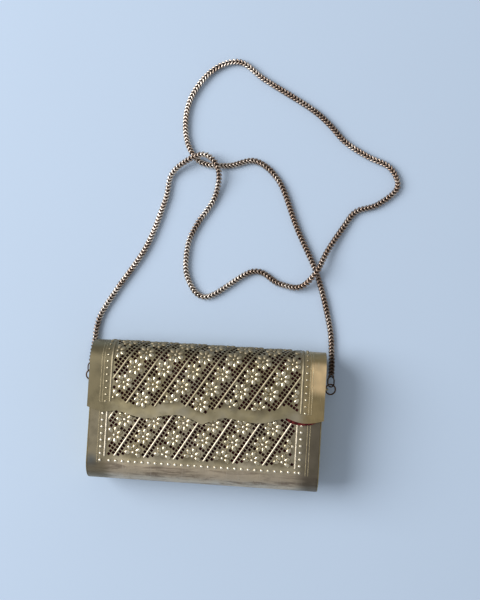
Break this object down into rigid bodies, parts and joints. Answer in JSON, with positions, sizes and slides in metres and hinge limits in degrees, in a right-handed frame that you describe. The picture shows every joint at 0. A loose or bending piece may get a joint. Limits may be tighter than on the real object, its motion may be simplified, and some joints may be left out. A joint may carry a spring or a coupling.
{
  "type": "hard metal clutch bag",
  "caption": "Hard metal clutch with a pierced, embossed body and a scalloped lid that wraps over the top on a back hinge, lined inside, on a slack woven chain strap.",
  "frame": {"origin": "middle of the bag's footprint, on the plane that its back rests on", "axes": "+X along the bag to the right, +Y towards its top, +Z out of its front"},
  "size_m": [0.2412, 0.3366, 0.041],
  "materials": {
    "body_metal": "aged brass sheet, pierced and embossed, worn along its bottom",
    "plate_metal": "plain aged brass sheet",
    "lid_metal": "aged brass sheet, pierced and embossed, satin in the plain bands",
    "lining": "dark maroon velvet on a card backing",
    "hinge_metal": "drawn brass strip and wire",
    "magnet": "plated magnet and steel keeper",
    "fittings": "oxidised brown wire",
    "chain": "silver-brown woven wire links with dark gaps"
  },
  "bodies": {
    "body": {"body_shell": "body_metal", "left_end_plate": "plate_metal", "right_end_plate": "plate_metal", "body_lining": "lining", "left_end_lining": "lining", "right_end_lining": "lining", "body_hinge_leaf": "hinge_metal", "hinge_pin": "hinge_metal", "clasp_keeper": "magnet", "left_lug": "fittings", "right_lug": "fittings", "left_chain_loop": "fittings", "right_chain_loop": "fittings", "chain_strap": "chain"},
    "lid": {"lid_shell": "lid_metal", "lid_lining": "lining", "lid_hinge_leaf": "hinge_metal", "lid_magnet": "magnet"},
    "left_ring": {"left_jump_ring": "fittings"},
    "right_ring": {"right_jump_ring": "fittings"}
  },
  "joints": [
    {"name": "lid_hinge", "type": "hinge", "parent": "body", "child": "lid", "pos_m": [0, 0.031, 0.0017], "axis": [-1, 0, 0], "range_deg": [0, 100]},
    {"name": "left_ring_swing", "type": "hinge", "parent": "body", "child": "left_ring", "pos_m": [-0.0913, 0.024, 0.007], "axis": [0, 1, 0], "range_deg": [-8, 8]},
    {"name": "right_ring_swing", "type": "hinge", "parent": "body", "child": "right_ring", "pos_m": [0.0913, 0.024, 0.007], "axis": [0, -1, 0], "range_deg": [-8, 8]}
  ]
}
